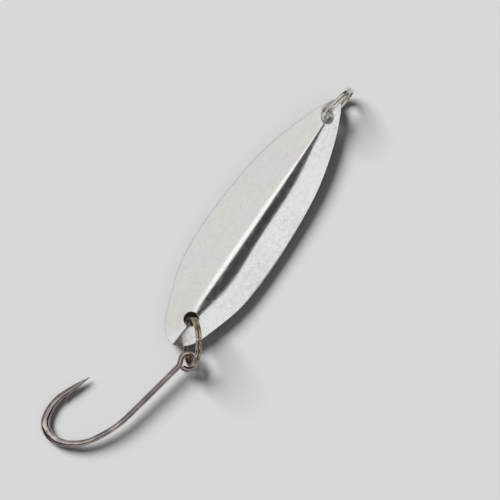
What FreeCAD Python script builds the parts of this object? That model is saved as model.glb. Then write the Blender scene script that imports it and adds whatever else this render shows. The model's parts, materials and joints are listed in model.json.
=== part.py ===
import FreeCAD, Part
import math
import os

import Sketcher

# Keeled casting spoon on its back-to-front axis: +X runs towards the line ring, +Y to the left
# of the blade and +Z up, out of the keel.  All sizes are millimetres and degrees.
# Four pieces: the stamped blade, a split ring at each end and one inline-eye hook.

DRIVING_SIZES = {
    "blade_length": 59.0,
    "blade_width": 17.0,
    "sheet_thickness": 1.0,
    "keel_arch": 1.7,
    "panel_drop": 3.3,
    "keel_radius_tail": 3.2,
    "keel_radius_front": 0.9,
    "tail_hole_diameter": 2.8,
    "tail_hole_inset": 6.2,
    "front_hole_diameter": 2.4,
    "front_hole_inset": 4.2,
    "tail_ring_diameter": 10.0,
    "front_ring_diameter": 8.0,
    "ring_wire": 0.62,
    "ring_turns": 1.96,
    "ring_turn_gap": 0.03,
    "hook_wire": 1.2,
    "shank_length": 14.3,
    "heel_bend_radius": 24.0,
    "heel_bend_angle": 23.0,
    "lower_bend_radius": 9.5,
    "lower_bend_angle": 39.0,
    "tight_bend_radius": 4.0,
    "tight_bend_angle": 93.0,
    "throat_bend_radius": 9.1,
    "throat_bend_angle": 37.0,
    "spear_length": 6.3,
    "point_length": 5.8,
    "point_radius": 0.05,
    "barb_height": 0.5,
    "barb_length": 1.5,
    "barb_width": 0.5,
    "eye_hole": 2.2,
    "eye_wire": 1.15,
    "eye_offset": 0.7,
}

# Rest attitude of each ring about its hole: yaw, pitch and roll.  The hook's eye rides on the
# tail ring this far below the ring's outermost point.
TAIL_RING_YAW = 34.7
TAIL_RING_PITCH = 22.6
TAIL_RING_ROLL = 6.0
FRONT_RING_YAW = -3.0
FRONT_RING_PITCH = -15.0
FRONT_RING_ROLL = -22.0
EYE_BELOW_RING_END = 45.0
HOOK_YAW = -11.0
HOOK_PITCH = -1.85
HOOK_ROLL = -7.0

doc = FreeCAD.newDocument("spoon_lure")
sheet = doc.addObject("Spreadsheet::Sheet", "sizes")


def fill_sheet():
    """Write every driving size as a plain number with its own alias."""
    for row, (alias, value) in enumerate(DRIVING_SIZES.items(), start=1):
        sheet.set(f"A{row}", alias)
        sheet.set(f"B{row}", str(value))
        sheet.setAlias(f"B{row}", alias)
    doc.recompute()


def size(alias):
    """Read one driving size back from the sheet."""
    return float(getattr(sheet, alias))


def plane_of(body, role):
    """The origin plane of a body that has this role."""
    for feature in body.Origin.OriginFeatures:
        if feature.Role == role:
            return feature
    raise ValueError(f"{body.Name} has no {role}")


def new_sketch(body, name, role, offset=FreeCAD.Vector()):
    """A sketch on one of the body's own origin planes, moved off it in the sketch's own axes."""
    sketch = body.newObject("Sketcher::SketchObject", name)
    sketch.AttachmentSupport = [(plane_of(body, role), "")]
    sketch.MapMode = "FlatFace"
    sketch.AttachmentOffset = FreeCAD.Placement(offset, FreeCAD.Rotation())
    return sketch


def bind(sketch, constraint, name, expression):
    """Add a dimension, name it and drive it from the sheet."""
    index = sketch.addConstraint(constraint)
    sketch.renameConstraint(index, name)
    sketch.setExpression(f"Constraints.{name}", expression)


def vector(x, y, z=0.0):
    return FreeCAD.Vector(x, y, z)


# ---------------------------------------------------------------- blade

# Stations of the folded sheet: place along the length, keel height and fold depth, each as a
# share of its driving size, and how far the keel radius has gone from tail to front.
BLADE_STATIONS = (
    (-0.54, -0.10, 0.40, 0.00),
    (-0.40, 0.30, 0.66, 0.05),
    (-0.20, 0.84, 0.98, 0.20),
    (0.04, 1.00, 1.00, 0.45),
    (0.26, 0.72, 0.80, 0.75),
    (0.42, 0.22, 0.42, 1.00),
    (0.54, -0.20, 0.20, 1.00),
)
# The sections reach this far each side of the keel, and the trim sketch this far past the leaf,
# so that the leaf outline cuts every edge.
FOLD_SPAN = 10.0
TRIM_MARGIN = 8.0

# Leaf outline of one side: place along the length and half width, as shares of the length and
# of half the width.
OUTLINE = (
    (-0.500, 0.000),
    (-0.472, 0.350),
    (-0.400, 0.605),
    (-0.270, 0.895),
    (-0.110, 1.000),
    (0.067, 0.945),
    (0.213, 0.815),
    (0.333, 0.590),
    (0.445, 0.285),
    (0.500, 0.000),
)


def fold_profile(sketch, fold, lower):
    """One skin of the folded sheet: two straight panels joined by the keel's arc."""
    height, drop, radius = fold
    skin = "lower" if lower else "upper"
    shift = " - sizes.sheet_thickness" if lower else ""
    keel_top = height[1] - (size("sheet_thickness") if lower else 0.0)
    rough_tilt = math.atan2(drop[1], FOLD_SPAN)
    arc_drop = radius[1] * (1.0 - math.cos(rough_tilt))
    tilt = math.atan2(drop[1] - arc_drop, FOLD_SPAN - radius[1] * rough_tilt / 2)
    centre = vector(0, keel_top - radius[1])
    ends = [vector(sign * FOLD_SPAN, keel_top - drop[1]) for sign in (-1, 1)]
    touches = [centre + vector(sign * math.sin(tilt), math.cos(tilt)) * radius[1] for sign in (-1, 1)]
    circle = Part.Circle(centre, vector(0, 0, 1), radius[1])
    left = sketch.addGeometry(Part.LineSegment(ends[0], touches[0]), False)
    arc = sketch.addGeometry(Part.ArcOfCircle(circle, math.pi / 2 - tilt, math.pi / 2 + tilt), False)
    right = sketch.addGeometry(Part.LineSegment(touches[1], ends[1]), False)
    sketch.addConstraint(Sketcher.Constraint("Tangent", left, 2, arc, 2))
    sketch.addConstraint(Sketcher.Constraint("Tangent", arc, 1, right, 1))
    sketch.addConstraint(Sketcher.Constraint("PointOnObject", arc, 3, -2))
    bind(sketch, Sketcher.Constraint("Radius", arc, radius[1]), f"{skin}_radius", radius[0])
    for edge, point, sign, side in ((left, 1, -1, "left"), (right, 2, 1, "right")):
        sketch.addConstraint(Sketcher.Constraint("DistanceX", -1, 1, edge, point, sign * FOLD_SPAN))
        bind(
            sketch,
            Sketcher.Constraint("DistanceY", -1, 1, edge, point, keel_top - drop[1]),
            f"{skin}_{side}_height",
            f"{height[0]} - {drop[0]}{shift}",
        )
    bind(
        sketch,
        Sketcher.Constraint("DistanceY", -1, 1, arc, 3, keel_top - radius[1]),
        f"{skin}_centre",
        f"{height[0]} - {radius[0]}{shift}",
    )
    return left, right


def blade_section(body, number, station):
    """The closed cross-section of the folded sheet at one station."""
    place, height_share, drop_share, radius_share = station
    sketch = new_sketch(body, f"section_{number}", "YZ_Plane", vector(0, 0, place * size("blade_length")))
    sketch.setExpression("AttachmentOffset.Base.z", f"{place} * sizes.blade_length * 1 mm")
    tail_radius = size("keel_radius_tail")
    front_radius = size("keel_radius_front")
    height = (f"{height_share} * sizes.keel_arch", height_share * size("keel_arch"))
    drop = (f"{drop_share} * sizes.panel_drop", drop_share * size("panel_drop"))
    radius = (
        f"(sizes.keel_radius_tail * {1 - radius_share} + sizes.keel_radius_front * {radius_share})",
        tail_radius * (1 - radius_share) + front_radius * radius_share,
    )
    fold = (height, drop, radius)
    upper = fold_profile(sketch, fold, False)
    lower = fold_profile(sketch, fold, True)
    for above, below, point in ((upper[0], lower[0], 1), (upper[1], lower[1], 2)):
        start = sketch.getPoint(above, point)
        end = sketch.getPoint(below, point)
        rim = sketch.addGeometry(Part.LineSegment(start, end), False)
        sketch.addConstraint(Sketcher.Constraint("Coincident", rim, 1, above, point))
        sketch.addConstraint(Sketcher.Constraint("Coincident", rim, 2, below, point))
    return sketch


def make_blade():
    """Stamped leaf-shaped sheet with a raised keel and a hole at each end."""
    body = doc.addObject("PartDesign::Body", "blade")
    body.Label = "blade"
    sections = [blade_section(body, n, station) for n, station in enumerate(BLADE_STATIONS)]
    doc.recompute()
    loft = body.newObject("PartDesign::AdditiveLoft", "folded_sheet")
    loft.Profile = sections[0]
    loft.Sections = sections[1:]
    doc.recompute()

    outline = new_sketch(body, "leaf_outline", "XY_Plane")
    length = size("blade_length")
    half_width = size("blade_width") / 2
    left_side = [vector(x * length, y * half_width) for x, y in OUTLINE]
    right_side = [vector(point.x, -point.y) for point in reversed(left_side[1:-1])]
    leaf = Part.BSplineCurve()
    leaf.interpolate(Points=left_side + right_side, PeriodicFlag=True)
    outline.addGeometry(leaf, False)
    far_x = length / 2 + TRIM_MARGIN
    far_y = half_width + TRIM_MARGIN
    corners = [vector(-far_x, -far_y), vector(far_x, -far_y), vector(far_x, far_y), vector(-far_x, far_y)]
    for start, end in zip(corners, corners[1:] + corners[:1]):
        outline.addGeometry(Part.LineSegment(start, end), False)
    through_pocket(body, "leaf_trim", outline)

    holes = new_sketch(body, "ring_holes", "XY_Plane")
    for word, sign in (("tail", -1), ("front", 1)):
        along = sign * (length / 2 - size(f"{word}_hole_inset"))
        circle = Part.Circle(vector(along, 0), vector(0, 0, 1), size(f"{word}_hole_diameter") / 2)
        edge = holes.addGeometry(circle, False)
        holes.addConstraint(Sketcher.Constraint("PointOnObject", edge, 3, -1))
        bind(
            holes,
            Sketcher.Constraint("Diameter", edge, size(f"{word}_hole_diameter")),
            f"{word}_diameter",
            f"sizes.{word}_hole_diameter",
        )
        bind(
            holes,
            Sketcher.Constraint("DistanceX", -1, 1, edge, 3, along),
            f"{word}_place",
            f"{sign} * (sizes.blade_length / 2 - sizes.{word}_hole_inset)",
        )
    through_pocket(body, "hole_pocket", holes)
    return body


def through_pocket(body, name, sketch):
    """Cut a sketch right through, both ways, and make sure that something was removed."""
    doc.recompute()
    before = body.Shape.Volume
    pocket = body.newObject("PartDesign::Pocket", name)
    pocket.Profile = sketch
    pocket.SideType = "Two sides"
    pocket.Type = "ThroughAll"
    pocket.Type2 = "ThroughAll"
    sketch.Visibility = False
    doc.recompute()
    removed = before - body.Shape.Volume
    if removed <= 0:
        raise ValueError(f"{name} removed nothing")


# ---------------------------------------------------------------- split rings

def make_split_ring(name, diameter_alias):
    """Two close turns of round wire about the body's Z axis, centred on its origin."""
    body = doc.addObject("PartDesign::Body", name)
    body.Label = name
    wire = size("ring_wire")
    middle = (size(diameter_alias) - wire) / 2
    pitch = wire + size("ring_turn_gap")
    start = -pitch * size("ring_turns") / 2
    profile = new_sketch(body, f"{name}_wire", "XZ_Plane")
    circle = Part.Circle(vector(middle, start), vector(0, 0, 1), wire / 2)
    edge = profile.addGeometry(circle, False)
    bind(profile, Sketcher.Constraint("Diameter", edge, wire), "wire", "sizes.ring_wire")
    bind(
        profile,
        Sketcher.Constraint("DistanceX", -1, 1, edge, 3, middle),
        "middle",
        f"(sizes.{diameter_alias} - sizes.ring_wire) / 2",
    )
    bind(
        profile,
        Sketcher.Constraint("DistanceY", -1, 1, edge, 3, start),
        "start",
        "-(sizes.ring_wire + sizes.ring_turn_gap) * sizes.ring_turns / 2",
    )
    doc.recompute()
    coil = body.newObject("PartDesign::AdditiveHelix", f"{name}_coil")
    coil.Profile = profile
    coil.ReferenceAxis = (profile, ["V_Axis"])
    coil.Mode = "pitch-turns-angle"
    coil.setExpression("Pitch", "(sizes.ring_wire + sizes.ring_turn_gap) * 1 mm")
    coil.setExpression("Turns", "sizes.ring_turns")
    doc.recompute()
    return body


# ---------------------------------------------------------------- hook

# Tangent bends from the shank's end to the spear.
BENDS = ("heel", "lower", "tight", "throat")

# Barb outline: place along the point as a share of the barb's length, then height over the wire's
# middle line as shares of the wire's radius and of the barb's height.
BARB_OUTLINE = (
    (0.0, 0.60, 0.0),
    (-0.4, 1.00, 1.0),
    (0.6, 0.45, 0.0),
    (0.1, 0.30, 0.0),
)


def turned(angle):
    """Unit vector in the hook's plane, turned this many degrees from the shank's direction."""
    return vector(-math.cos(math.radians(angle)), math.sin(math.radians(angle)))


def bend(start, centre, end):
    """Arc from start to end about centre, through the point outside the bend."""
    outward = ((start + end) / 2 - centre).normalize()
    return Part.Arc(start, centre + outward * (start - centre).Length, end)


def hook_line():
    """The wire's middle line, its first point, and where and which way the needle point starts."""
    eye_middle = (size("eye_hole") + size("eye_wire")) / 2
    start = vector(-math.sqrt(eye_middle**2 - size("eye_offset") ** 2), size("eye_offset"))
    place = start + turned(0) * size("shank_length")
    edges = [Part.LineSegment(start, place)]
    angle = 0.0
    for word in BENDS:
        radius = size(f"{word}_bend_radius")
        centre = place + turned(angle + 90) * radius
        angle += size(f"{word}_bend_angle")
        end = centre - turned(angle + 90) * radius
        edges.append(bend(place, centre, end))
        place = end
    point_start = place + turned(angle) * (size("spear_length") - size("point_length"))
    edges.append(Part.LineSegment(place, point_start))
    return edges, start, point_start, angle


def make_hook():
    """Single hook with a flat-lying eye, in its body's XY plane with the eye on the origin."""
    body = doc.addObject("PartDesign::Body", "hook")
    body.Label = "hook"
    edges, start, point_start, angle = hook_line()
    spear = turned(angle)
    inward = turned(angle + 90)
    wire = size("hook_wire")

    path = new_sketch(body, "hook_path", "XY_Plane")
    for edge in edges:
        path.addGeometry(edge, False)
    profile = new_sketch(body, "hook_wire_section", "YZ_Plane", vector(start.y, 0, start.x))
    circle = profile.addGeometry(Part.Circle(vector(0, 0), vector(0, 0, 1), wire / 2), False)
    profile.addConstraint(Sketcher.Constraint("Coincident", circle, 3, -1, 1))
    bind(profile, Sketcher.Constraint("Diameter", circle, wire), "wire", "sizes.hook_wire")
    doc.recompute()
    pipe = body.newObject("PartDesign::AdditivePipe", "shank_and_bend")
    pipe.Profile = profile
    pipe.Spine = path
    doc.recompute()

    point = body.newObject("PartDesign::AdditiveCone", "needle_point")
    point.setExpression("Radius1", "sizes.hook_wire / 2 * 1 mm")
    point.setExpression("Radius2", "sizes.point_radius * 1 mm")
    point.setExpression("Height", "sizes.point_length * 1 mm")
    point.Placement = FreeCAD.Placement(point_start, FreeCAD.Rotation(vector(0, 0, 1), spear))

    eye = body.newObject("PartDesign::AdditiveTorus", "eye")
    eye.setExpression("Radius1", "(sizes.eye_hole + sizes.eye_wire) / 2 * 1 mm")
    eye.setExpression("Radius2", "sizes.eye_wire / 2 * 1 mm")
    doc.recompute()

    barb = new_sketch(body, "barb_outline", "XY_Plane")
    corners = [
        point_start
        + spear * (along * size("barb_length"))
        + inward * (thick * wire / 2 + high * size("barb_height"))
        for along, thick, high in BARB_OUTLINE
    ]
    for corner, following in zip(corners, corners[1:] + corners[:1]):
        barb.addGeometry(Part.LineSegment(corner, following), False)
    doc.recompute()
    wedge = body.newObject("PartDesign::Pad", "barb")
    wedge.Profile = barb
    wedge.Midplane = True
    wedge.setExpression("Length", "sizes.barb_width * 1 mm")
    doc.recompute()
    return body


# ---------------------------------------------------------------- assembly

def hole_middle(word):
    """The middle of the sheet's thickness on a hole's axis."""
    sign = -1 if word == "tail" else 1
    along = sign * (size("blade_length") / 2 - size(f"{word}_hole_inset"))
    blade = doc.getObject("blade").Shape
    reach = size(f"{word}_hole_diameter")
    column = Part.makeCylinder(reach, 20, vector(along, 0, -10))
    around_hole = blade.common(column).Solids[0]
    return vector(along, 0, around_hole.CenterOfMass.z)


def attitude(yaw, pitch, roll):
    """Rotation by roll about X, then pitch about Y, then yaw about Z."""
    return FreeCAD.Rotation(yaw, pitch, roll)


def place_parts():
    """Hang both rings in their holes and the hook's eye on the tail ring."""
    upright = FreeCAD.Rotation(vector(1, 0, 0), -90)
    places = {}
    for word, sign, angles in (
        ("tail", -1, (TAIL_RING_YAW, TAIL_RING_PITCH, TAIL_RING_ROLL)),
        ("front", 1, (FRONT_RING_YAW, FRONT_RING_PITCH, FRONT_RING_ROLL)),
    ):
        middle = (size(f"{word}_ring_diameter") - size("ring_wire")) / 2
        turn = attitude(*angles)
        hole = hole_middle(word)
        centre = hole + turn.multVec(vector(sign * middle, 0, 0))
        doc.getObject(f"{word}_split_ring").Placement = FreeCAD.Placement(centre, turn * upright)
        places[f"{word}_hole"] = hole
        places[f"{word}_ring_centre"] = centre
        places[f"{word}_ring_axis"] = turn.multVec(vector(0, 1, 0))
        places[f"{word}_ring_turn"] = turn

    below = math.radians(EYE_BELOW_RING_END)
    middle = (size("tail_ring_diameter") - size("ring_wire")) / 2
    turn = places["tail_ring_turn"]
    eye = places["tail_ring_centre"] + turn.multVec(
        vector(-math.cos(below) * middle, 0, -math.sin(below) * middle)
    )
    hook = doc.getObject("hook")
    hook.Placement = FreeCAD.Placement(eye, attitude(HOOK_YAW, HOOK_PITCH, HOOK_ROLL))
    places["eye"] = eye
    return places


def check(objects):
    """Stop if any feature failed or any piece isn't one valid solid."""
    for item in doc.Objects:
        if "Invalid" in item.State or "Error" in item.State:
            raise ValueError(f"{item.Name} failed: {item.State}")
    for item in objects:
        shape = item.Shape
        if shape.isNull() or not shape.isValid() or len(shape.Solids) != 1:
            raise ValueError(f"{item.Label} isn't one valid solid")


def stand_on_floor(pieces, places):
    """Move the whole lure so that its box stands on z = 0 with its middle over the origin."""
    boxes = [piece.Shape.optimalBoundingBox(False, False) for piece in pieces]
    low = [min(getattr(box, side) for box in boxes) for side in ("XMin", "YMin", "ZMin")]
    high = [max(getattr(box, side) for box in boxes) for side in ("XMax", "YMax")]
    shift = vector(-(low[0] + high[0]) / 2, -(low[1] + high[1]) / 2, -low[2])
    for piece in pieces:
        piece.Placement = FreeCAD.Placement(piece.Placement.Base + shift, piece.Placement.Rotation)
    for name in ("tail_hole", "tail_ring_centre", "front_hole", "front_ring_centre", "eye"):
        places[name] = places[name] + shift


fill_sheet()
pieces = [
    make_blade(),
    make_split_ring("front_split_ring", "front_ring_diameter"),
    make_split_ring("tail_split_ring", "tail_ring_diameter"),
    make_hook(),
]
places = place_parts()
stand_on_floor(pieces, places)
doc.recompute()
check(pieces)
for key, value in places.items():
    print(key, value)
for piece in pieces:
    print(piece.Label, round(piece.Shape.Volume, 3), piece.Shape.optimalBoundingBox(False, False))

os.makedirs("parts", exist_ok=True)
for piece in pieces:
    piece.Shape.exportStep(f"parts/{piece.Label}.step")
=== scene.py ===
import json
import math

import bmesh
import bpy
import numpy as np
from mathutils import Euler, Matrix, Vector


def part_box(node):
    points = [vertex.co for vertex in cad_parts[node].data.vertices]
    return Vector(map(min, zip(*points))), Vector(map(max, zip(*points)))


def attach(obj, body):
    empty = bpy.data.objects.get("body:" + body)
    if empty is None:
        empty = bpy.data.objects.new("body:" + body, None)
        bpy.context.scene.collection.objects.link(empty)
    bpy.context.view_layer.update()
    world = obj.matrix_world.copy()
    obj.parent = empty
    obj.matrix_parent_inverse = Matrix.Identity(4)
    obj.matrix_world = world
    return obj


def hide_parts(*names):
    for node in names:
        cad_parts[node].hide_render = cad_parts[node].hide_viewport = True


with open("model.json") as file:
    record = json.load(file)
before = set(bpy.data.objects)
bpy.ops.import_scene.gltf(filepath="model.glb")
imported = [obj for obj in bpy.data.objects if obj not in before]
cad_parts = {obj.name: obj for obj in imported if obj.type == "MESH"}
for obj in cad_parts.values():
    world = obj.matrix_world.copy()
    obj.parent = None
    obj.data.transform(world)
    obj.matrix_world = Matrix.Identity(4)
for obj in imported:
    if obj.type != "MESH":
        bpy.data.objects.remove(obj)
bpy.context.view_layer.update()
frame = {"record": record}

# Sizes are millimetres and degrees unless a name says otherwise.  Blender's own unit is metres.
MM = 0.001
joints = {joint["name"]: joint for joint in frame["record"]["behaviour"]["joints"]}
TAIL_HOLE = Vector(joints["tail_ring_swing"]["pos_m"]) / MM
FRONT_HOLE = Vector(joints["front_ring_swing"]["pos_m"]) / MM
TAIL_RING_CENTRE = Vector(joints["hook_swing"]["pos_m"]) / MM

# The part's own sizes, as its sheet has them.
BLADE_LENGTH = 59.0
BLADE_WIDTH = 17.0
SHEET = 1.0
KEEL_ARCH = 1.7
PANEL_DROP = 3.3
KEEL_RADIUS_TAIL = 3.2
KEEL_RADIUS_FRONT = 0.9
TAIL_HOLE_RADIUS = 1.4
TAIL_HOLE_INSET = 6.2
FRONT_HOLE_RADIUS = 1.2
FRONT_HOLE_INSET = 4.2
FOLD_SPAN = 10.0
TAIL_RING_DIAMETER = 10.0
FRONT_RING_DIAMETER = 8.0
RING_WIRE = 0.62
TAIL_RING_ANGLES = (6.0, 22.6, 34.7)
FRONT_RING_ANGLES = (-22.0, -15.0, -3.0)
EYE_BELOW_RING_END = 45.0
HOOK_ANGLES = (-7.0, -1.85, -11.0)

# Along the blade: place as a share of its length, keel height, fold depth and keel radius, each
# as a share of its size, the radius going from tail to front.
BLADE_STATIONS = (
    (-0.54, -0.10, 0.40, 0.00),
    (-0.40, 0.30, 0.66, 0.05),
    (-0.20, 0.84, 0.98, 0.20),
    (0.04, 1.00, 1.00, 0.45),
    (0.26, 0.72, 0.80, 0.75),
    (0.42, 0.22, 0.42, 1.00),
    (0.54, -0.20, 0.20, 1.00),
)
OUTLINE = (
    (-0.500, 0.000),
    (-0.472, 0.350),
    (-0.400, 0.605),
    (-0.270, 0.895),
    (-0.110, 1.000),
    (0.067, 0.945),
    (0.213, 0.815),
    (0.333, 0.590),
    (0.445, 0.285),
    (0.500, 0.000),
)


# ---------------------------------------------------------------- mesh helpers

WELD = 0.0005
SHARP_ANGLE = math.radians(50)

def smoothstep(value):
    value = min(max(value, 0.0), 1.0)
    return value * value * (3.0 - 2.0 * value)


def turn_of(angles):
    """Rotation matrix of roll, pitch and yaw in degrees."""
    return Euler([math.radians(angle) for angle in angles], "XYZ").to_matrix()


def spline(knots, values, period=None):
    """A cubic spline through the values: natural at its ends, or closed when it has a period."""
    knots = np.array(knots, dtype=float)
    values = np.array(values, dtype=float)
    count = len(knots)
    system = np.zeros((count, count))
    right = np.zeros(count)
    for i in range(count):
        if period is None and i in (0, count - 1):
            system[i, i] = 1.0
            continue
        before, after = (i - 1) % count, (i + 1) % count
        step_before = (knots[i] - knots[before]) % (period or math.inf)
        step_after = (knots[after] - knots[i]) % (period or math.inf)
        system[i, before] += step_before
        system[i, i] += 2 * (step_before + step_after)
        system[i, after] += step_after
        rise = (values[after] - values[i]) / step_after
        right[i] = 6 * (rise - (values[i] - values[before]) / step_before)
    bends = np.linalg.solve(system, right)

    def value_at(place):
        if period is not None:
            place = knots[0] + (place - knots[0]) % period
        i = int(np.clip(np.searchsorted(knots, place, side="right") - 1, 0, count - 1))
        if period is None:
            i = min(i, count - 2)
        after = (i + 1) % count
        step = (knots[after] - knots[i]) % (period or math.inf)
        gone = place - knots[i]
        left = step - gone
        curve = bends[i] * left**3 + bends[after] * gone**3
        line_left = (values[i] / step - bends[i] * step / 6) * left
        line_right = (values[after] / step - bends[after] * step / 6) * gone
        return float(curve / (6 * step) + line_left + line_right)

    return value_at


def make_piece(name, points, faces, material, body, node):
    """A mesh piece from points in millimetres, riding on a body in place of one CAD node."""
    mesh = bpy.data.meshes.new(name)
    mesh.from_pydata([Vector(point) * MM for point in points], [], faces)
    build = bmesh.new()
    build.from_mesh(mesh)
    bmesh.ops.remove_doubles(build, verts=build.verts, dist=WELD * MM)
    bmesh.ops.dissolve_degenerate(build, edges=build.edges, dist=WELD * MM)
    bmesh.ops.recalc_face_normals(build, faces=build.faces)
    build.to_mesh(mesh)
    build.free()
    mesh.polygons.foreach_set("use_smooth", [True] * len(mesh.polygons))
    mesh.set_sharp_from_angle(angle=SHARP_ANGLE)
    mesh.materials.append(material)
    piece = bpy.data.objects.new(name, mesh)
    bpy.context.scene.collection.objects.link(piece)
    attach(piece, body)
    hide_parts(node)
    return piece


def skin_loops(loops, points, faces, close_start=True, close_end=True):
    """Join closed loops of equal length into a tube, with a fan over each end that is closed."""
    first = len(points)
    size = len(loops[0])
    for loop in loops:
        points.extend(loop)
    for row in range(len(loops) - 1):
        for k in range(size):
            a = first + row * size + k
            b = first + row * size + (k + 1) % size
            faces.append((a, b, b + size, a + size))
    for closed, row in ((close_start, 0), (close_end, len(loops) - 1)):
        if closed:
            centre = sum((Vector(point) for point in loops[row]), Vector()) / size
            points.append(centre)
            start = first + row * size
            for k in range(size):
                faces.append((start + k, start + (k + 1) % size, len(points) - 1))


# ---------------------------------------------------------------- materials

class Nodes:
    """Short ways to add nodes to one material."""

    def __init__(self, name):
        self.material = bpy.data.materials.new(name)
        self.material.use_nodes = True
        self.tree = self.material.node_tree
        self.shader = self.tree.nodes["Principled BSDF"]
        self.place = self.add("ShaderNodeTexCoord").outputs["Object"]

    def add(self, kind, **settings):
        node = self.tree.nodes.new(kind)
        for key, value in settings.items():
            setattr(node, key, value)
        return node

    def link(self, source, target):
        self.tree.links.new(source, target)

    def noise(self, per_mm, detail=3.0, stretch=(1, 1, 1), roughness=0.55):
        """Noise whose features are about 1 / per_mm millimetres wide."""
        mapping = self.add("ShaderNodeMapping")
        mapping.inputs["Scale"].default_value = [share * per_mm / MM for share in stretch]
        self.link(self.place, mapping.inputs["Vector"])
        noise = self.add("ShaderNodeTexNoise")
        noise.inputs["Scale"].default_value = 1.0
        noise.inputs["Detail"].default_value = detail
        noise.inputs["Roughness"].default_value = roughness
        self.link(mapping.outputs[0], noise.inputs["Vector"])
        return noise.outputs["Fac"]

    def ramp(self, source, stops):
        """A colour ramp; each stop is a place and a colour or a grey level."""
        ramp = self.add("ShaderNodeValToRGB")
        elements = ramp.color_ramp.elements
        while len(elements) < len(stops):
            elements.new(0.5)
        for element, (place, colour) in zip(elements, stops):
            if not isinstance(colour, tuple):
                colour = (colour, colour, colour)
            element.position = place
            element.color = (*colour, 1.0)
        self.link(source, ramp.inputs["Fac"])
        return ramp.outputs["Color"]

    def math(self, operation, first, second):
        node = self.add("ShaderNodeMath", operation=operation)
        for socket, value in zip(node.inputs, (first, second)):
            if isinstance(value, (int, float)):
                socket.default_value = value
            else:
                self.link(value, socket)
        return node.outputs[0]

    def mix(self, factor, first, second, blend="MIX"):
        node = self.add("ShaderNodeMix", data_type="RGBA", blend_type=blend)
        colour_inputs = (node.inputs[0], factor), (node.inputs[6], first), (node.inputs[7], second)
        for socket, value in colour_inputs:
            if isinstance(value, (int, float)):
                socket.default_value = value
            elif isinstance(value, tuple):
                socket.default_value = (*value, 1.0)
            else:
                self.link(value, socket)
        return node.outputs[2]

    def bump(self, height, strength, distance_mm, under=None):
        node = self.add("ShaderNodeBump")
        node.inputs["Strength"].default_value = strength
        node.inputs["Distance"].default_value = distance_mm * MM
        self.link(height, node.inputs["Height"])
        if under is not None:
            self.link(under, node.inputs["Normal"])
        return node.outputs["Normal"]

    def finish(self, colour, roughness, normal):
        self.shader.inputs["Metallic"].default_value = 1.0
        self.link(colour, self.shader.inputs["Base Color"])
        self.link(roughness, self.shader.inputs["Roughness"])
        self.link(normal, self.shader.inputs["Normal"])
        return self.material


def plating_material():
    """Bright nickel plating over a stamped blank: faint stains, scuffs, waves, grain and pits."""
    m = Nodes("blade_plating")
    stain = m.ramp(
        m.noise(per_mm=0.16, detail=4.0, stretch=(0.8, 1.2, 1.0)),
        [
            (0.30, (0.82, 0.80, 0.80)),
            (0.48, (0.83, 0.825, 0.815)),
            (0.62, (0.82, 0.82, 0.83)),
            (0.75, (0.84, 0.83, 0.81)),
        ],
    )
    cloud = m.ramp(m.noise(per_mm=0.7, detail=5.0), [(0.35, 0.97), (0.65, 1.0)])
    specks = m.ramp(m.noise(per_mm=4.5, detail=2.0, roughness=0.7), [(0.30, 0.62), (0.37, 1.0)])
    colour = m.mix(1.0, m.mix(1.0, stain, cloud, "MULTIPLY"), specks, "MULTIPLY")
    scuffs = m.noise(per_mm=2.2, stretch=(0.12, 1.6, 1.0))
    rough = m.ramp(m.noise(per_mm=0.9, detail=5.0), [(0.30, 0.10), (0.70, 0.21)])
    rough = m.mix(0.15, rough, m.ramp(scuffs, [(0.45, 0.08), (0.70, 0.34)]))
    waves = m.bump(m.noise(per_mm=0.20, detail=1.0), strength=0.5, distance_mm=0.012)
    fine = m.noise(per_mm=3.6, detail=4.0, roughness=0.65)
    grain = m.bump(fine, strength=0.35, distance_mm=0.010, under=waves)
    pits = m.bump(specks, strength=0.6, distance_mm=0.022, under=grain)
    return m.finish(colour, rough, pits)


def ring_material(name, deep, plain, warm, low, high):
    """Drawn spring wire: plating that is thin in places, with dark specks and a fine grain."""
    m = Nodes(name)
    tone = m.noise(per_mm=0.45, detail=5.0)
    colour = m.ramp(tone, [(0.32, deep), (0.50, plain), (0.68, warm)])
    specks = m.ramp(m.noise(per_mm=6.0, detail=2.0), [(0.30, 0.55), (0.40, 1.0)])
    rough = m.ramp(m.noise(per_mm=1.6, detail=4.0), [(0.30, low), (0.70, high)])
    soft = m.bump(m.noise(per_mm=1.0, detail=2.0), strength=0.5, distance_mm=0.02)
    grain = m.bump(m.noise(per_mm=7.0), strength=0.3, distance_mm=0.004, under=soft)
    return m.finish(m.mix(1.0, colour, specks, "MULTIPLY"), rough, grain)


def hook_material():
    """Black nickel on a forged hook: brown-violet film with paler worn patches."""
    m = Nodes("hook_black_nickel")
    film = m.ramp(
        m.noise(per_mm=0.28, detail=4.0),
        [
            (0.30, (0.20, 0.165, 0.155)),
            (0.48, (0.36, 0.31, 0.30)),
            (0.60, (0.48, 0.42, 0.40)),
            (0.74, (0.66, 0.61, 0.58)),
        ],
    )
    specks = m.ramp(m.noise(per_mm=5.0), [(0.30, 0.5), (0.42, 1.0)])
    rough = m.ramp(m.noise(per_mm=1.2, detail=4.0), [(0.30, 0.07), (0.70, 0.15)])
    drawn = m.bump(m.noise(per_mm=1.3), strength=0.6, distance_mm=0.05)
    grain = m.bump(m.noise(per_mm=8.0, detail=2.0), strength=0.25, distance_mm=0.003, under=drawn)
    return m.finish(m.mix(1.0, film, specks, "MULTIPLY"), rough, grain)


# ---------------------------------------------------------------- blade

ACROSS = 64
ALONG = 200
PATCH_RINGS = 8
PATCH_REACH = 1.62
PATCH_EASE = 1.2
EVEN_SHARE = 0.65
OUTLINE_STEPS = 2000
RIM_FILLET = 0.04
HOLE_FILLET = 0.22
FILLET_STEPS = 5
LEFT_KEEL_SHARE = 2.0

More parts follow.
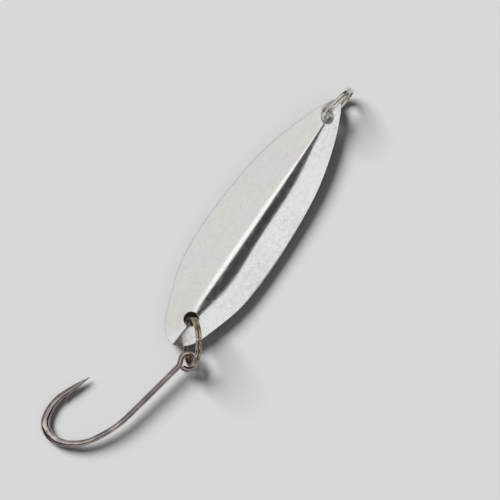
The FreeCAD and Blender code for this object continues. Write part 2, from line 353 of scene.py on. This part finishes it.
# The visual keel is softer on its right than the CAD's: place along the blade and radius.
RIGHT_KEEL = (
    (-0.54, 1.8),
    (-0.46, 2.4),
    (-0.38, 6.4),
    (-0.30, 10.2),
    (-0.10, 8.2),
    (0.10, 7.4),
    (0.26, 6.8),
    (0.36, 4.4),
    (0.54, 2.6),
)


def blade_sections():
    """Functions of the place along the blade: keel height, fold depth and keel radius."""
    places = [station[0] * BLADE_LENGTH for station in BLADE_STATIONS]
    height = spline(places, [station[1] * KEEL_ARCH for station in BLADE_STATIONS])
    drop = spline(places, [station[2] * PANEL_DROP for station in BLADE_STATIONS])
    spread = KEEL_RADIUS_FRONT - KEEL_RADIUS_TAIL
    radius = spline(places, [KEEL_RADIUS_TAIL + spread * station[3] for station in BLADE_STATIONS])
    return height, drop, radius


def leaf_outline():
    """Points of the leaf's left half from tail to front, with their outward directions."""
    half = [(x * BLADE_LENGTH, y * BLADE_WIDTH / 2) for x, y in OUTLINE]
    corners = half + [(x, -y) for x, y in reversed(half[1:-1])]
    knots = [0.0]
    for start, end in zip(corners, corners[1:] + corners[:1]):
        knots.append(knots[-1] + math.dist(start, end))
    around = knots.pop()
    x_at = spline(knots, [corner[0] for corner in corners], around)
    y_at = spline(knots, [corner[1] for corner in corners], around)
    half_way = knots[len(half) - 1]
    fine = [(x_at(t), y_at(t)) for t in np.linspace(0, half_way, OUTLINE_STEPS)]
    xs = np.array([point[0] for point in fine])
    ys = np.array([point[1] for point in fine])
    order = np.argsort(xs)
    xs, ys = xs[order], ys[order]
    places = -BLADE_LENGTH / 2 * np.cos(np.linspace(0, math.pi, ALONG + 1))
    widths = np.interp(places, xs, ys)
    widths[0] = widths[-1] = 0.0
    slope_x = np.gradient(places)
    slope_y = np.gradient(widths)
    lengths = np.hypot(slope_x, slope_y)
    outward = np.stack((-slope_y / lengths, slope_x / lengths), axis=1)
    outward[0] = (-1, 0)
    outward[-1] = (1, 0)
    return np.stack((places, widths), axis=1), outward


def make_blade():
    """Two skins over the leaf joined by rounded edges round the outline and both holes."""
    height, drop, radius = blade_sections()
    right_places = [place * BLADE_LENGTH for place, _ in RIGHT_KEEL]
    right_radius = spline(right_places, [size for _, size in RIGHT_KEEL])
    edge, outward = leaf_outline()
    crest = max(height(x) for x in edge[:, 0])
    shift = Vector((TAIL_HOLE.x + BLADE_LENGTH / 2 - TAIL_HOLE_INSET, TAIL_HOLE.y, 0))
    shift.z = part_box("blade")[1].z / MM - crest

    def top(x, y):
        """Height of the upper skin: a panel each side of a keel that is softer on its right."""
        keel = radius(x) * LEFT_KEEL_SHARE if y > 0 else right_radius(x)
        rise = keel - drop(x)
        tilt = math.asin(keel / math.hypot(FOLD_SPAN, rise)) - math.atan2(rise, FOLD_SPAN)
        if abs(y) < keel * math.sin(tilt):
            return height(x) - keel + math.sqrt(keel * keel - y * y)
        return height(x) - drop(x) + math.tan(tilt) * (FOLD_SPAN - abs(y))

    points = []
    faces = []

    def put(x, y, inward, upper):
        """A point of the upper or lower skin, taken this far in from its surface."""
        z = top(x, y) - inward if upper else top(x, y) - SHEET + inward
        points.append(shift + Vector((x, y, z)))
        return len(points) - 1

    def strip(first, second):
        for k in range(len(first)):
            after = (k + 1) % len(first)
            faces.append((first[k], first[after], second[after], second[k]))

    def rim(place_at, count, fillet):
        """The rounded edge between the skins round a closed line of the plan."""
        loops = []
        for upper in (True, False):
            steps = range(FILLET_STEPS + 1) if upper else range(FILLET_STEPS, -1, -1)
            for step in steps:
                turn = math.pi / 2 * step / FILLET_STEPS
                inset = fillet * (1 - math.sin(turn))
                drop_in = fillet * (1 - math.cos(turn))
                loops.append([put(*place_at(k, inset), drop_in, upper) for k in range(count)])
        for first, second in zip(loops, loops[1:]):
            strip(first, second)

    # Grid over the leaf, finer near the keel.
    side = np.linspace(-1, 1, ACROSS + 1)
    share_across = EVEN_SHARE * side + (1 - EVEN_SHARE) * side**3
    inner = edge - outward * RIM_FILLET
    inner[0, 1] = inner[-1, 1] = 0.0
    holes = (
        (-BLADE_LENGTH / 2 + TAIL_HOLE_INSET, TAIL_HOLE_RADIUS),
        (BLADE_LENGTH / 2 - FRONT_HOLE_INSET, FRONT_HOLE_RADIUS),
    )
    patches = []
    for place, hole_radius in holes:
        reach = hole_radius * PATCH_REACH
        columns = np.nonzero(np.abs(inner[:, 0] - place) < reach)[0]
        width = np.interp(place, inner[:, 0], inner[:, 1])
        rows = np.nonzero(np.abs(share_across * width) < reach)[0]
        patches.append((place, hole_radius, columns[0], columns[-1], rows[0], rows[-1]))

    def grid_place(i, j):
        return inner[i, 0], inner[i, 1] * share_across[j]

    columns_of_grid = range(ALONG + 1)
    rows_of_grid = range(ACROSS + 1)

    for upper in (True, False):
        grid = [[put(*grid_place(i, j), 0.0, upper) for j in rows_of_grid] for i in columns_of_grid]
        for i in range(ALONG):
            for j in range(ACROSS):
                if not any(a <= i < b and c <= j < d for _, _, a, b, c, d in patches):
                    faces.append((grid[i][j], grid[i + 1][j], grid[i + 1][j + 1], grid[i][j + 1]))
        for place, hole_radius, a, b, c, d in patches:
            border = [(i, c) for i in range(a, b)] + [(b, j) for j in range(c, d)]
            border += [(i, d) for i in range(b, a, -1)] + [(a, j) for j in range(d, c, -1)]
            outer = [Vector(grid_place(i, j)) for i, j in border]
            middle = Vector((place, 0.0))
            ways = [(point - middle).normalized() for point in outer]
            previous = None
            for step in range(PATCH_RINGS + 1):
                share = step / PATCH_RINGS
                loop = []
                for point, way in zip(outer, ways):
                    start = middle + way * (hole_radius + HOLE_FILLET)
                    x, y = start.lerp(point, share**PATCH_EASE)
                    loop.append(put(x, y, 0.0, upper))
                if previous is not None:
                    strip(previous, loop)
                previous = loop
            if upper:
                rim(
                    lambda k, inset: middle + ways[k] * (hole_radius + inset),
                    len(ways),
                    HOLE_FILLET,
                )

    left = [(i, 1.0) for i in range(ALONG + 1)]
    right = [(i, -1.0) for i in range(ALONG - 1, 0, -1)]
    border = left + right

    def leaf_edge(k, inset):
        i, sign = border[k]
        x, y = edge[i] - outward[i] * inset
        return x, (0.0 if i in (0, ALONG) else y * sign)

    rim(leaf_edge, len(border), RIM_FILLET)
    make_piece("blade_shell", points, faces, plating_material(), "blade_body", "blade")


# ---------------------------------------------------------------- split rings

RING_SIDES = 20
RING_PITCH = 0.64
RING_STEPS = 264
JOG_HALF_ANGLE = 3.2

# The wire's section is a circle squared a little, by this power on its cosine and sine.
FLATNESS = 0.72

# The squared section would stand out past the round one at the ring's front, so the ring sits back.
FRONT_RING_SETBACK = 0.06
TAIL_JOG_AT = 98.0
FRONT_JOG_AT = 97.0
BRONZED_TONES = ((0.26, 0.20, 0.16), (0.42, 0.34, 0.27), (0.60, 0.49, 0.34))
NICKEL_TONES = ((0.56, 0.52, 0.46), (0.74, 0.71, 0.66), (0.84, 0.80, 0.68))
END_ROUNDING = 0.12


def make_ring(name, centre, angles, diameter, jog_at, material, body, node):
    """Two flat turns of wire with one jog between them, both ends cut beside the jog."""
    turn = turn_of(angles)
    middle = (diameter - RING_WIRE) / 2
    half = RING_WIRE / 2
    first = JOG_HALF_ANGLE
    last = 720.0 - JOG_HALF_ANGLE
    loops = []
    for step in range(RING_STEPS + 1):
        angle = first + (last - first) * step / RING_STEPS
        passed = (angle - 360.0 + JOG_HALF_ANGLE) / (2 * JOG_HALF_ANGLE)
        across = RING_PITCH * (smoothstep(passed) - 0.5)
        from_end = math.radians(min(angle - first, last - angle)) * middle
        rounding = min(from_end / END_ROUNDING, 1.0)
        radius = half - END_ROUNDING * (1.0 - math.sqrt(1.0 - (1.0 - rounding) ** 2))
        bearing = math.radians(angle + jog_at)
        out = Vector((math.cos(bearing), 0, math.sin(bearing)))
        loop = []
        for k in range(RING_SIDES):
            roll = 2 * math.pi * k / RING_SIDES
            side, up = math.cos(roll), math.sin(roll)
            offset = out * (middle + radius * math.copysign(abs(side) ** FLATNESS, side))
            offset.y = across + radius * math.copysign(abs(up) ** FLATNESS, up)
            loop.append(centre + turn @ offset)
        loops.append(loop)
    points = []
    faces = []
    skin_loops(loops, points, faces)
    make_piece(name, points, faces, material, body, node)


def make_rings():
    """The tail ring about its own centre, and the front ring hung in its hole."""
    make_ring(
        "tail_ring_wire",
        TAIL_RING_CENTRE,
        TAIL_RING_ANGLES,
        TAIL_RING_DIAMETER,
        TAIL_JOG_AT,
        ring_material("ring_bronzed", *BRONZED_TONES, low=0.14, high=0.28),
        "tail_ring_body",
        "tail_split_ring",
    )
    mean = (FRONT_RING_DIAMETER - RING_WIRE) / 2
    centre = FRONT_HOLE + turn_of(FRONT_RING_ANGLES) @ Vector((mean - FRONT_RING_SETBACK, 0, 0))
    make_ring(
        "front_ring_wire",
        centre,
        FRONT_RING_ANGLES,
        FRONT_RING_DIAMETER,
        FRONT_JOG_AT,
        ring_material("ring_nickel", *NICKEL_TONES, low=0.10, high=0.22),
        "front_ring_body",
        "front_split_ring",
    )


# ---------------------------------------------------------------- hook

# The skin's wire is drawn a little under the part's.
PART_HOOK_WIRE = 1.2
HOOK_WIRE = PART_HOOK_WIRE * 0.97
SHANK_LENGTH = 14.3
BENDS = ((24.0, 23.0), (9.5, 39.0), (4.0, 93.0), (9.1, 37.0))
SPEAR_LENGTH = 6.3
POINT_LENGTH = 5.8
EYE_RADIUS = 1.675
EYE_WIRE = 1.15
EYE_OFFSET = 0.7
EYE_BLEND = 2.2
EYE_END_ANGLE = 274.0
HOOK_SIDES = 28
HOOK_STEP = 0.12
EYE_STEP_ANGLE = 3.0
EYE_BLEND_STEPS = 30

# The wire thins to the tip by a sine raised to this power, and to its cut end over a short
# rounding; both shares are of the full wire.
TIP_SHARE = 0.04
TAPER_POWER = 0.9
CUT_ROUNDING = 0.18
CUT_END_SHARE = 0.55

# Width of the wire in the hook's plane at a length along it from the start of the bend: forged
# wide round the tight bend.  The point is ground separately.
FORGED = (
    (0.0, 1.16),
    (9.0, 1.22),
    (14.0, 1.45),
    (18.5, 1.85),
    (21.5, 1.85),
    (25.5, 1.55),
    (29.0, 1.3),
)


def hook_path():
    """Points along the wire from its cut end round the eye to the tip, each with its stretch."""
    path = []
    for angle in np.arange(EYE_END_ANGLE, 0.0, -EYE_STEP_ANGLE):
        turn = math.radians(90 - angle)
        path.append((EYE_RADIUS * math.cos(turn), EYE_RADIUS * math.sin(turn), "eye"))
    for share in np.linspace(0.0, 1.0, EYE_BLEND_STEPS)[:-1]:
        rise = (EYE_RADIUS - EYE_OFFSET) * (1 - smoothstep(share))
        path.append((-EYE_BLEND * share, EYE_OFFSET + rise, "eye"))
    start = -math.sqrt(EYE_RADIUS**2 - EYE_OFFSET**2)
    x, y, heading = start - SHANK_LENGTH, EYE_OFFSET, 0.0
    for place in np.arange(-EYE_BLEND, x, -HOOK_STEP):
        path.append((place, y, "shank"))
    for radius, angle in BENDS:
        steps = max(3, int(radius * math.radians(angle) / HOOK_STEP))
        turn = math.radians(angle) / steps
        chord = 2 * radius * math.sin(turn / 2)
        for _ in range(steps):
            heading += turn / 2
            x -= math.cos(heading) * chord
            y += math.sin(heading) * chord
            heading += turn / 2
            path.append((x, y, "bend"))
    steps = int(SPEAR_LENGTH / HOOK_STEP)
    for _ in range(steps):
        x -= math.cos(heading) * SPEAR_LENGTH / steps
        y += math.sin(heading) * SPEAR_LENGTH / steps
        path.append((x, y, "spear"))
    return path


def make_hook():
    """Round wire with a bent eye, a forged bend, a ground point and a cut barb."""
    turn = turn_of(HOOK_ANGLES)
    mean = (TAIL_RING_DIAMETER - RING_WIRE) / 2
    below = math.radians(EYE_BELOW_RING_END)
    eye_offset = Vector((-math.cos(below) * mean, 0, -math.sin(below) * mean))
    eye = TAIL_RING_CENTRE + turn_of(TAIL_RING_ANGLES) @ eye_offset

    path = hook_path()
    flat = np.array([(x, y) for x, y, _ in path])
    steps = np.gradient(flat, axis=0)
    steps /= np.hypot(steps[:, 0], steps[:, 1])[:, None]
    inward = np.stack((steps[:, 1], -steps[:, 0]), axis=1)
    gone = np.concatenate(([0.0], np.cumsum(np.hypot(*np.diff(flat, axis=0).T))))
    bend_start = gone[[kind for _, _, kind in path].index("bend")]
    forged_at = [place for place, _ in FORGED]
    forged_width = [width for _, width in FORGED]
    total = gone[-1]
    loops = []
    for (x, y, kind), side, place in zip(path, inward, gone):
        width = float(np.interp(place - bend_start, forged_at, forged_width))
        thick = HOOK_WIRE
        if kind == "eye":
            width = thick = EYE_WIRE
        elif kind == "shank":
            width = HOOK_WIRE
        left = total - place
        taper = min(left / POINT_LENGTH, 1.0)
        taper = TIP_SHARE + (1.0 - TIP_SHARE) * math.sin(taper * math.pi / 2) ** TAPER_POWER
        cut = min(place / CUT_ROUNDING, 1.0)
        taper *= CUT_END_SHARE + (1.0 - CUT_END_SHARE) * math.sqrt(1.0 - (1.0 - cut) ** 2)
        grown = (width - HOOK_WIRE) / 2 if kind in ("bend", "spear") else 0.0
        half_width = width / 2 * taper
        half_thick = thick / 2 * taper
        centre = Vector((x + side[0] * grown * taper, y + side[1] * grown * taper, 0))
        loop = []
        for k in range(HOOK_SIDES):
            roll = 2 * math.pi * k / HOOK_SIDES
            offset = Vector((side[0], side[1], 0)) * half_width * math.cos(roll)
            offset.z = half_thick * math.sin(roll)
            loop.append(eye + turn @ (centre + offset))
        loops.append(loop)
    points = []
    faces = []
    skin_loops(loops, points, faces)
    add_barb(points, faces, flat, steps, inward, gone, eye, turn)
    make_piece("hook_wire", points, faces, hook_material(), "hook_body", "hook")


BARB_FROM_TIP = 4.6
BARB_LENGTH = 1.9
BARB_RISE = 0.62
BARB_THICK = 0.62
BARB_SECTIONS = 9
BARB_ROOT = 0.25
BARB_START_RISE = 0.42
BARB_RISE_POWER = 1.3
BARB_THINNING = 0.45
BARB_LEAN = -0.35
BARB_TOP_THINNING = 0.35

# The barb's section: across it, as a share of half its thickness, and up it, of its rise.
BARB_SECTION = ((-1, 0), (-1, 0.55), (-0.45, 0.9), (0, 1), (0.45, 0.9), (1, 0.55), (1, 0))


def add_barb(points, faces, flat, steps, inward, gone, eye, turn):
    """A sliver raised off the wire's inner side, rising backwards from the point."""
    loops = []
    for row in range(BARB_SECTIONS):
        share = row / (BARB_SECTIONS - 1)
        index = int(np.searchsorted(gone, gone[-1] - BARB_FROM_TIP - BARB_LENGTH * share))
        side = Vector((*inward[index], 0))
        base = Vector((*flat[index], 0)) + side * BARB_ROOT
        high = BARB_START_RISE + BARB_RISE * share**BARB_RISE_POWER
        thick = BARB_THICK / 2 * (1 - BARB_THINNING * share)
        back = Vector((*steps[index], 0)) * (BARB_LEAN * share)
        loop = []
        for across, up in BARB_SECTION:
            offset = base + side * (high * up) + back * up
            offset.z = across * thick * (1 - BARB_TOP_THINNING * up)
            loop.append(eye + turn @ offset)
        loops.append(loop)
    skin_loops(loops, points, faces)


# ---------------------------------------------------------------- stage, lights and camera

FLOOR_SIZE_M = 4
FLOOR_GREY = 0.77
SUN_BEARING = (0.195, 0.981)
SUN_ELEVATION = math.radians(35)
SUN_STRENGTH = 4.24
SUN_WIDTH = math.radians(23)
SHADE_LIGHT = 0.12
DIM_LIGHT = 0.08
PALE_LIGHT = 0.70
CARD_HEIGHT = 60.0
CARD_SIZE = 250.0

# The card's gap, in millimetres.  Its middle and half width follow the square of the distance
# along the blade from CARD_MIDDLE; behind the tail it shifts and narrows, over the hook it widens.
CARD_MIDDLE = 12.0
GAP_CENTRE = -26.5
GAP_CENTRE_CURVE = 0.00575
GAP_HALF = 46.5
GAP_HALF_CURVE = 0.02075
GAP_HALF_LEAST = 14.0
TAIL_BEGINS = -29.0
TAIL_REACH = 4.0
TAIL_SHIFT = 1.6
TAIL_NARROWING = 1.8
HOOK_BEGINS = -38.0
HOOK_REACH = 6.0
HOOK_WIDENING = 6.0
RAMP_MIDDLE = 0.5
RAMP_SPAN = 0.1
COOL = (0.94, 0.95, 0.96)
WARM = (0.80, 0.78, 0.76)
GLARE = (1.2, 1.2, 1.17)

CAMERA_TILT = math.radians(15)
AXIS_IN_VIEW = math.radians(55.8)
FIELD = 100.0
CAMERA_DISTANCE = 500.0
SENSOR = 36.0
AIM_FROM_BLADE_MIDDLE = Vector((-5.23, -2.24, 0))


def make_floor():
    """A plain pale floor."""
    bpy.ops.mesh.primitive_plane_add(size=FLOOR_SIZE_M)
    floor = bpy.context.object
    floor.name = "floor"
    material = bpy.data.materials.new("floor_paper")
    material.use_nodes = True
    shader = material.node_tree.nodes["Principled BSDF"]
    shader.inputs["Base Color"].default_value = (FLOOR_GREY, FLOOR_GREY, FLOOR_GREY, 1)
    shader.inputs["Roughness"].default_value = 0.9
    shader.inputs["Specular IOR Level"].default_value = 0.1
    floor.data.materials.append(material)


def make_card():
    """A studio card over the lure that only reflections see: two bright fields with a dark gap."""
    bpy.ops.mesh.primitive_plane_add(size=CARD_SIZE * MM, location=(0, 0, CARD_HEIGHT * MM))
    card = bpy.context.object
    card.name = "reflector_card"
    card.visible_camera = False
    card.visible_diffuse = False
    card.visible_shadow = False
    card.visible_transmission = False
    card.visible_volume_scatter = False
    m = Nodes("reflector_card")
    split = m.add("ShaderNodeSeparateXYZ")
    m.link(m.place, split.inputs[0])
    along = m.math("SUBTRACT", m.math("DIVIDE", split.outputs["X"], MM), CARD_MIDDLE)
    across = m.math("DIVIDE", split.outputs["Y"], MM)
    squared = m.math("MULTIPLY", along, along)

    def past(begins, reach):
        """How far a place is beyond this one towards the tail, up to the reach."""
        gone = m.math("MAXIMUM", m.math("SUBTRACT", begins, along), 0.0)
        return m.math("MINIMUM", gone, reach)

    behind_tail = past(TAIL_BEGINS, TAIL_REACH)
    over_hook = past(HOOK_BEGINS, HOOK_REACH)
    centre = m.math("ADD", m.math("MULTIPLY", squared, GAP_CENTRE_CURVE), GAP_CENTRE)
    centre = m.math("SUBTRACT", centre, m.math("MULTIPLY", behind_tail, TAIL_SHIFT))
    half = m.math("SUBTRACT", GAP_HALF, m.math("MULTIPLY", squared, GAP_HALF_CURVE))
    half = m.math("SUBTRACT", half, m.math("MULTIPLY", behind_tail, TAIL_NARROWING))
    half = m.math("MAXIMUM", half, GAP_HALF_LEAST)
    half = m.math("ADD", half, m.math("MULTIPLY", over_hook, HOOK_WIDENING))
    # The gap's own scale runs from -1, the right panel's reflection, to +1, the left panel's.
    place = m.math("DIVIDE", m.math("SUBTRACT", across, centre), half)
    ramp_place = m.math("ADD", m.math("MULTIPLY", place, RAMP_SPAN), RAMP_MIDDLE)
    colour = m.ramp(
        ramp_place,
        [
            (0.05, (0.60, 0.61, 0.63)),
            (0.20, COOL),
            (0.408, COOL),
            (0.424, (0.05, 0.055, 0.06)),
            (0.526, (0.04, 0.045, 0.05)),
            (0.536, GLARE),
            (0.572, GLARE),
            (0.584, WARM),
            (0.68, WARM),
            (0.95, (0.50, 0.48, 0.46)),
        ],
    )
    emission = m.add("ShaderNodeEmission")
    m.link(colour, emission.inputs["Color"])
    m.link(emission.outputs[0], m.tree.nodes["Material Output"].inputs["Surface"])
    card.data.materials.append(m.material)


def make_world():
    """Plain pale surroundings, dimmer for the floor's shadow and dimmest in the metal's gloss."""
    world = bpy.data.worlds.new("studio")
    bpy.context.scene.world = world
    world.use_nodes = True
    tree = world.node_tree
    plain = tree.nodes["Background"]
    plain.inputs["Color"].default_value = (PALE_LIGHT, PALE_LIGHT, PALE_LIGHT, 1)
    shade = tree.nodes.new("ShaderNodeBackground")
    shade.inputs["Color"].default_value = (SHADE_LIGHT, SHADE_LIGHT, SHADE_LIGHT, 1)
    dim = tree.nodes.new("ShaderNodeBackground")
    dim.inputs["Color"].default_value = (DIM_LIGHT, DIM_LIGHT, DIM_LIGHT, 1)
    path = tree.nodes.new("ShaderNodeLightPath")
    seen = plain.outputs[0]
    for ray, light in (("Is Diffuse Ray", shade), ("Is Glossy Ray", dim)):
        mix = tree.nodes.new("ShaderNodeMixShader")
        tree.links.new(path.outputs[ray], mix.inputs[0])
        tree.links.new(seen, mix.inputs[1])
        tree.links.new(light.outputs[0], mix.inputs[2])
        seen = mix.outputs[0]
    tree.links.new(seen, tree.nodes["World Output"].inputs["Surface"])


def make_sun():
    """The soft key light, low on the blade's left side, with no highlight of its own."""
    level = math.cos(SUN_ELEVATION)
    towards = Vector((SUN_BEARING[0] * level, SUN_BEARING[1] * level, math.sin(SUN_ELEVATION)))
    light = bpy.data.lights.new("key", "SUN")
    light.energy = SUN_STRENGTH
    light.angle = SUN_WIDTH
    sun = bpy.data.objects.new("key", light)
    sun.rotation_euler = towards.to_track_quat("Z", "Y").to_euler()
    sun.visible_glossy = False
    bpy.context.scene.collection.objects.link(sun)


def make_camera():
    """A long lens above the lure, tilted to the left side, with the blade's axis leaning in view."""
    forward = Vector((1, 0, 0))
    across = Vector((0, -math.cos(CAMERA_TILT), math.sin(CAMERA_TILT)))
    right = math.cos(AXIS_IN_VIEW) * forward + math.sin(AXIS_IN_VIEW) * across
    up = math.sin(AXIS_IN_VIEW) * forward - math.cos(AXIS_IN_VIEW) * across
    back = right.cross(up)
    camera = bpy.data.objects.new("camera", bpy.data.cameras.new("camera"))
    camera.data.sensor_width = SENSOR
    camera.data.lens = SENSOR * CAMERA_DISTANCE / FIELD
    camera.data.clip_start = 0.01
    camera.data.clip_end = 10
    low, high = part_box("blade")
    aim = (low + high) / 2 + AIM_FROM_BLADE_MIDDLE * MM
    rotation = Matrix((right, up, back)).transposed().to_4x4()
    camera.matrix_world = Matrix.Translation(aim + back * CAMERA_DISTANCE * MM) @ rotation
    bpy.context.scene.collection.objects.link(camera)
    bpy.context.scene.camera = camera


make_blade()
make_rings()
make_hook()
make_floor()
make_card()
make_world()
make_sun()
make_camera()
bpy.context.scene.view_settings.view_transform = "Standard"
bpy.context.scene.cycles.caustics_reflective = False
